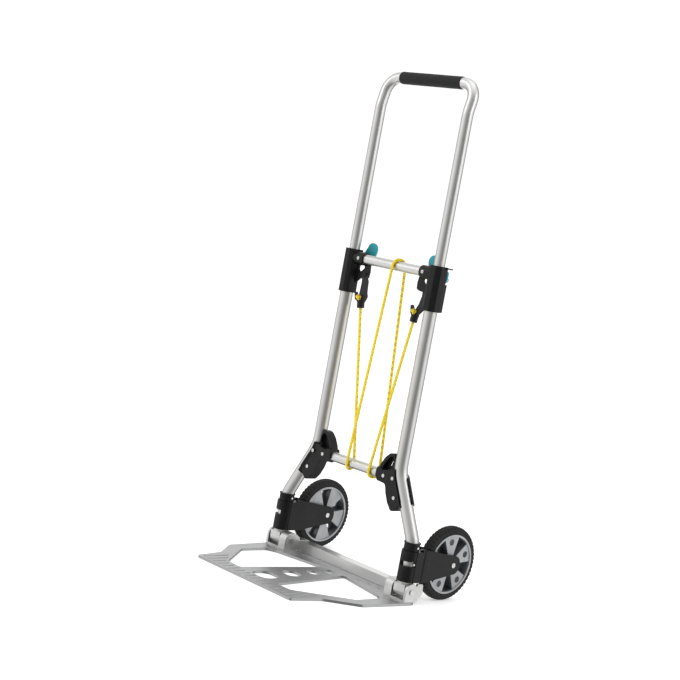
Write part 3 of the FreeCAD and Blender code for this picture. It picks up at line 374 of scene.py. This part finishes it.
def knot(name, centre, size, down, side):
    """Small overhand knot: a trefoil line with the tail standing out of it."""
    n = 120
    ax = (-down).normalized()
    ref = Vector((0, -1, 0))
    ux = (ref - ax * ref.dot(ax)).normalized()
    uy = ax.cross(ux)
    pth = []
    for i in range(n + 1):
        t = 2 * math.pi * i / n
        x = math.sin(t) + 2 * math.sin(2 * t)
        y = math.cos(t) - 2 * math.cos(2 * t)
        z = -math.sin(3 * t)
        pth.append(centre + (ux * x + ax * y) * size + uy * z * size * 1.2)
    return pth


mat_knot = mat_cord
for s, side in SIDES:
    lo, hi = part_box("cord_knot_" + side)
    ex = route[-1] if s > 0 else route[0]
    nx = corners[-2] if s > 0 else corners[1]
    d = (Vector((nx[0], nx[1] + YO, nx[2])) - ex).normalized()
    centre = ex - d * 0.0238 + Vector((0, -0.008, 0))
    loop = knot("k", centre, 0.00150, d, s)
    ball = tube_along("cord_knot_loop_" + side, loop[:-1] + [loop[0]], 0.0026, 12, mat_knot, None, False)
    stub = tube_along("cord_knot_tail_" + side, [ex - d * (0.0004 + 0.0220 * k / 14) + Vector((0, -0.0078 * max(0.0, (k - 6.5) / 7.5) ** 1.3, 0)) for k in range(15)], CR * 0.92, 14, mat_knot, strand_ripple)
    bm = bmesh.new()
    bm.from_mesh(ball.data)
    bm.from_mesh(stub.data)
    bmesh.ops.recalc_face_normals(bm, faces=bm.faces)
    bm.to_mesh(ball.data)
    bm.free()
    bpy.data.objects.remove(stub)
    ball.name = "cord_knot_tied_" + side
    for f in ball.data.polygons:
        f.use_smooth = True
    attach(ball, "frame")
    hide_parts("cord_knot_" + side)

# camera
az, el, roll = math.radians(45.83), math.radians(4.75), math.radians(10.41)
dist, focal, tx, tz = 3.3012, 1510.64, -0.0866, 0.5114
back = Vector((math.sin(az) * math.cos(el), -math.cos(az) * math.cos(el), math.sin(el)))
right = Vector((math.cos(az), math.sin(az), 0))
up = back.cross(right)
ri = right * math.cos(roll) + up * math.sin(roll)
ui = up * math.cos(roll) - right * math.sin(roll)
place = right * tx + Vector((0, 0, tz)) + back * dist + Vector((0, YO, 0))
cam = bpy.data.cameras.new("photo_camera")
cam.sensor_width = 36.0
cam.lens = focal * 36.0 / 680.0
cam.clip_end = 60.0
cam_ob = bpy.data.objects.new("photo_camera", cam)
scene.collection.objects.link(cam_ob)
m = Matrix((
    (ri.x, ui.x, back.x, place.x),
    (ri.y, ui.y, back.y, place.y),
    (ri.z, ui.z, back.z, place.z),
    (0, 0, 0, 1)))
cam_ob.matrix_world = m
scene.camera = cam_ob

# ------------------------------------------------------------- CAD node finish
def finish_node(name, mat):
    o = nodes[name]
    o.data.materials.clear()
    o.data.materials.append(mat)


for s, side in SIDES:
    finish_node("main_tube_" + side, mat_tube_z)
    for n in ("upper_bracket_", "knee_bracket_", "swivel_collar_", "wheel_carrier_", "handle_glide_"):
        finish_node(n + side, mat_black)
    finish_node("cord_hook_" + side, mat_black_smooth)
    finish_node("release_lever_" + side, mat_teal)
    for n in ("tube_foot_", "hinge_clevis_"):
        finish_node(n + side, mat_cast)
    for n in ("lever_pin_", "lock_plunger_", "swivel_stop_pin_", "wheel_axle_", "pivot_pin_"):
        finish_node(n + side, mat_steel)
    for n in ("swivel_washer_", "axle_spacers_", "wheel_bush_"):
        finish_node(n + side, mat_bush)
finish_node("handle_tube", mat_tube_z)
finish_node("upper_crossbar", mat_tube_x)
finish_node("lower_crossbar", mat_tube_x)
finish_node("platform_deck", mat_deck)
finish_node("cross_beam", mat_beam)
for n in ("upper_bar_rivets", "knee_rivets", "collar_rivets", "deck_rivets"):
    finish_node(n, mat_steel)

# ----------------------------------------------------------------- foam grip
def foam_material():
    m, nt, p = new_mat("grip_foam")
    cells = nt.nodes.new("ShaderNodeTexVoronoi")
    cells.inputs["Scale"].default_value = 1300.0
    nt.links.new(coords(nt), cells.inputs["Vector"])
    soft = noise_tex(nt, coords(nt), 60.0, 4.0, 0.6)
    fine = noise_tex(nt, coords(nt), 2200.0, 2.0, 0.6)
    col = mix_col(nt, ramp(nt, soft, ((0.3, 0.0), (0.7, 1.0))), (0.0065, 0.0065, 0.007), (0.014, 0.014, 0.015))
    # painted shade: the pits of the foam cells, the low spots of the bump, are given a darker colour
    col = mix_col(nt, calc(nt, "MULTIPLY", ramp(nt, cells.outputs["Distance"], ((0.1, 1.0), (0.45, 0.0))), 0.5), col, (0.008, 0.008, 0.008))
    nt.links.new(col, p.inputs["Base Color"])
    nt.links.new(ramp(nt, soft, ((0.3, 0.62), (0.7, 0.80))), p.inputs["Roughness"])
    p.inputs["Specular IOR Level"].default_value = 0.3
    p.inputs["Sheen Weight"].default_value = 0.06
    p.inputs["Sheen Roughness"].default_value = 0.5
    bump(nt, p, calc(nt, "ADD", cells.outputs["Distance"], calc(nt, "MULTIPLY", fine, 0.5)), 0.35, 0.0006)
    return m


lo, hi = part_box("handle_grip")
gc = (lo + hi) / 2
gl, gr, gi = (hi.x - lo.x) / 2, (hi.z - lo.z) / 2, 0.0123
prof = [(-gl, gi)]
for k in range(9):
    a = math.pi - (math.pi / 2) * k / 8
    prof.append((-gl + 0.0035 + 0.0035 * math.cos(a), gr - 0.0018 + 0.0018 * math.sin(a)))
for k in range(1, 60):
    x = -gl + 0.0035 + (2 * gl - 0.007) * k / 60
    prof.append((x, gr))
for k in range(9):
    a = math.pi / 2 - (math.pi / 2) * k / 8
    prof.append((gl - 0.0035 + 0.0035 * math.cos(a), gr - 0.0018 + 0.0018 * math.sin(a)))
prof.append((gl, gi))


def foam_swell(i, j, x, r):
    if r < gi + 0.0003:
        return r, x
    n = noise.noise(Vector((x * 45, math.cos(j * math.tau / 72) * 1.3, math.sin(j * math.tau / 72) * 1.3)))
    return r - 0.00018 + 0.00018 * n, x


v, f = lathe(prof, 72, gc, "X", foam_swell)
grip = make_obj("foam_grip", v, f, foam_material())
fix_normals(grip)
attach(grip, "handle")
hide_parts("handle_grip")

# ---------------------------------------------------------------------- tyres
def tyre_material():
    m, nt, p = new_mat("tyre_rubber")
    fine = noise_tex(nt, coords(nt), 1800.0, 3.0, 0.6)
    soft = noise_tex(nt, coords(nt), 35.0, 4.0, 0.6)
    dust = ramp(nt, soft, ((0.40, 0.0), (0.75, 1.0)))
    col = mix_col(nt, calc(nt, "MULTIPLY", dust, 0.6), (0.0085, 0.0083, 0.008), (0.020, 0.0195, 0.019))
    nt.links.new(col, p.inputs["Base Color"])
    nt.links.new(ramp(nt, fine, ((0.3, 0.50), (0.7, 0.70))), p.inputs["Roughness"])
    p.inputs["Specular IOR Level"].default_value = 0.3
    bump(nt, p, fine, 0.2, 0.0004)
    return m


mat_tyre = tyre_material()


def tyre_piece(side, s):
    cx, cy, cz = s * HF, YO + 0.1185, 0.082
    R, Ri, h = 0.082, 0.0657, 0.012
    prof = [(-h, Ri), (-h - 0.0000, Ri + 0.002), (-h + 0.0004, Ri + 0.0045), (-h + 0.0002, Ri + 0.0075), (-h + 0.0009, R - 0.0050), (-h + 0.0026, R - 0.0022), (-h + 0.0052, R - 0.0008),
            (-0.0048, R - 0.0002), (-0.0034, R), (-0.0030, R - 0.0016), (-0.0018, R - 0.0016), (-0.0014, R), (0.0014, R), (0.0018, R - 0.0016), (0.0030, R - 0.0016), (0.0034, R), (0.0048, R - 0.0002),
            (h - 0.0052, R - 0.0008), (h - 0.0026, R - 0.0022), (h - 0.0009, R - 0.0050), (h - 0.0002, Ri + 0.0075), (h - 0.0004, Ri + 0.0045), (h, Ri + 0.002), (h, Ri)]
    segs = 52 * 6
    edge_l, edge_r = (4, 5, 6), (17, 18, 19)

    def tread(i, j, x, r):
        cut = j % 6 in (0, 1)
        if i in edge_l and cut:
            return r - 0.0016, x + (0.0006 if i == 4 else 0)
        if i in edge_r and (j + 3) % 6 in (0, 1):
            return r - 0.0016, x - (0.0006 if i == 19 else 0)
        return r, x

    v, f = lathe(prof, segs, (cx, cy, cz), "X", tread)
    t = make_obj("tyre_tread_" + side, v, f, mat_tyre)
    fix_normals(t)
    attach(t, "wheel_" + side)
    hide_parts("tyre_" + side)
    return t


for s, side in SIDES:
    tyre_piece(side, s)

# ------------------------------------------------ pressed beads along the deck
def bead_ring(cx, y0, y1, half, z, h):
    """One raised bead: a long low dome with round ends."""
    rings = []
    for shrink, lift in ((0.0, 0.0), (0.12, 0.55), (0.38, 0.90), (0.72, 1.0)):
        w = half * (1.0 - shrink)
        ring = []
        for k in range(20):
            a = 2 * math.pi * k / 20
            yc = (y1 - half) if math.sin(a) >= 0 else (y0 + half)
            ring.append((cx + w * math.cos(a), yc + w * math.sin(a), z + h * lift))
        rings.append(ring)
    return rings


deck_top = 0.0055
v, f = [], []
bead_rows = []
for k in range(-8, 9):
    x = 0.0181 * k
    far = -0.2405 if abs(k) < 6 else (-0.232 if abs(k) == 6 else (-0.213 if abs(k) == 7 else -0.196))
    bead_rows.append((x, -0.2700 if abs(k) < 8 else -0.2640, far))
for x, y0, y1 in bead_rows:
    base = len(v)
    rings = bead_ring(x, YO + y0, YO + y1, 0.0034, deck_top - 0.0001, 0.0013)
    for r in rings:
        v.extend(r)
    for q in range(len(rings) - 1):
        for k in range(20):
            a, b = base + q * 20 + k, base + q * 20 + (k + 1) % 20
            f.append((a, b, b + 20, a + 20))
    f.append(tuple(base + (len(rings) - 1) * 20 + k for k in range(20)))
    f.append(tuple(base + k for k in reversed(range(20))))
beads = make_obj("deck_front_beads", v, f, mat_deck)
fix_normals(beads)
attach(beads, "platform")

# ----------------------------------------------------------------- wheel disc
def rim_material(side, s):
    m, nt, p = new_mat("wheel_disc_" + side)
    geo = nt.nodes.new("ShaderNodeNewGeometry")
    tc = nt.nodes.new("ShaderNodeTexCoord")
    sep = nt.nodes.new("ShaderNodeSeparateXYZ")
    nt.links.new(tc.outputs["Object"], sep.inputs[0])
    x = calc(nt, "ABSOLUTE", calc(nt, "SUBTRACT", sep.outputs[0], s * HF))
    high = nt.nodes.new("ShaderNodeMapRange")
    high.inputs["From Min"].default_value = 0.0078
    high.inputs["From Max"].default_value = 0.0106
    nt.links.new(x, high.inputs["Value"])
    fine = noise_tex(nt, coords(nt), 1600.0, 3.0, 0.6)
    soft = noise_tex(nt, coords(nt), 30.0, 3.0, 0.5)
    silver = mix_col(nt, ramp(nt, soft, ((0.3, 0.0), (0.7, 1.0))), (0.30, 0.31, 0.325), (0.44, 0.445, 0.455))
    # painted shade: the recess floors between the raised pads get a darker colour, standing in for shade in the
    # hollows of the one-piece silver disc
    dark = mix_col(nt, ramp(nt, soft, ((0.3, 0.0), (0.7, 1.0))), (0.11, 0.118, 0.132), (0.18, 0.19, 0.208))
    col = mix_col(nt, high.outputs["Result"], dark, silver)
    col = mix_col(nt, calc(nt, "MULTIPLY", ramp(nt, fine, ((0.45, 0.0), (0.7, 1.0))), 0.15), col, (0.5, 0.51, 0.52))
    nt.links.new(col, p.inputs["Base Color"])
    nt.links.new(ramp(nt, fine, ((0.3, 0.30), (0.7, 0.44))), p.inputs["Roughness"])
    p.inputs["Metallic"].default_value = 0.45
    bump(nt, p, fine, 0.08, 0.0003, soft_edge(nt, 0.0010))
    return m


for s, side in SIDES:
    finish_node("wheel_rim_" + side, rim_material(side, s))

# --------------------------------------------------------------- stage, lights
floor_me = bpy.data.meshes.new("studio_floor")
R = 30.0
floor_me.from_pydata([(-R, -R, -0.0004), (R, -R, -0.0004), (R, R, -0.0004), (-R, R, -0.0004)], [], [(0, 1, 2, 3)])
floor = bpy.data.objects.new("studio_floor", floor_me)
scene.collection.objects.link(floor)
mf, nt, p = new_mat("studio_floor")
soft = noise_tex(nt, coords(nt), 0.8, 2.0, 0.5)
nt.links.new(mix_col(nt, soft, (0.94, 0.94, 0.94), (0.97, 0.97, 0.97)), p.inputs["Base Color"])
p.inputs["Roughness"].default_value = 0.9
p.inputs["Specular IOR Level"].default_value = 0.1
p.inputs["Emission Color"].default_value = (1, 1, 1, 1)
p.inputs["Emission Strength"].default_value = 0.40
floor_me.materials.append(mf)
floor.visible_glossy = False      # bright metal mirrors the room, not the endless floor

world = bpy.data.worlds.new("studio")
scene.world = world
world.use_nodes = True
wnt = world.node_tree
bg = wnt.nodes["Background"]
tc = wnt.nodes.new("ShaderNodeTexCoord")
sep = wnt.nodes.new("ShaderNodeSeparateXYZ")
wnt.links.new(tc.outputs["Generated"], sep.inputs[0])
# a white room with darker panels, so bright metal shows soft bands; the angle
# is the world azimuth measured from the viewing side
fwd = calc(wnt, "ADD", calc(wnt, "MULTIPLY", sep.outputs[0], 0.717), calc(wnt, "MULTIPLY", sep.outputs[1], -0.697))
side_way = calc(wnt, "ADD", calc(wnt, "MULTIPLY", sep.outputs[0], 0.697), calc(wnt, "MULTIPLY", sep.outputs[1], 0.717))
turn = calc(wnt, "ADD", calc(wnt, "DIVIDE", calc(wnt, "ARCTAN2", side_way, fwd), 2 * math.pi), 0.5)
PANELS = ((-180, 1.06), (-164, 1.06), (-158, 0.40), (-136, 0.36), (-120, 0.90), (-84, 0.98), (-52, 0.74), (-24, 0.42), (8, 0.20), (34, 0.24), (56, 0.95), (98, 1.10),
          (116, 0.42), (152, 0.26), (164, 1.06), (180, 1.06))
panels = ramp(wnt, turn, [(0.5 + d / 360.0, b) for d, b in PANELS])
# overhead the room is even
high = wnt.nodes.new("ShaderNodeMapRange")
high.inputs["From Min"].default_value = 0.35
high.inputs["From Max"].default_value = 0.80
wnt.links.new(sep.outputs[2], high.inputs["Value"])
wnt.links.new(mix_col(wnt, high.outputs["Result"], panels, (0.80, 0.80, 0.80)), bg.inputs["Color"])
bg.inputs["Strength"].default_value = 1.08
# the room itself is seen as plain white
plain = wnt.nodes.new("ShaderNodeBackground")
plain.inputs["Color"].default_value = (1, 1, 1, 1)
plain.inputs["Strength"].default_value = 1.05
lp = wnt.nodes.new("ShaderNodeLightPath")
pick = wnt.nodes.new("ShaderNodeMixShader")
wnt.links.new(lp.outputs["Is Camera Ray"], pick.inputs[0])
wnt.links.new(bg.outputs[0], pick.inputs[1])
wnt.links.new(plain.outputs[0], pick.inputs[2])
wnt.links.new(pick.outputs[0], wnt.nodes["World Output"].inputs["Surface"])

scene.view_settings.view_transform = "Standard"
scene.view_settings.look = "None"


def area(name, loc, target, size, power, size_y=None):
    l = bpy.data.lights.new(name, "AREA")
    l.energy = power
    l.shape = "RECTANGLE"
    l.size = size
    l.size_y = size_y or size
    o = bpy.data.objects.new(name, l)
    scene.collection.objects.link(o)
    o.location = loc
    d = (Vector(target) - Vector(loc)).normalized()
    o.rotation_euler = d.to_track_quat("-Z", "Y").to_euler()
    return o


area("key_left", (-1.6, -2.4, 2.4), (0, 0, 0.5), 1.6, 11, 1.6)
area("key_right", (2.7, 0.9, 1.9), (0, 0, 0.5), 1.2, 9, 2.0)
area("top", (0.2, -0.2, 3.4), (0, 0, 0.3), 2.4, 12)

# ------------------------------------------------------------------- measure
bpy.context.view_layer.update()
print("cord length on the spline", round(cord_len, 4))
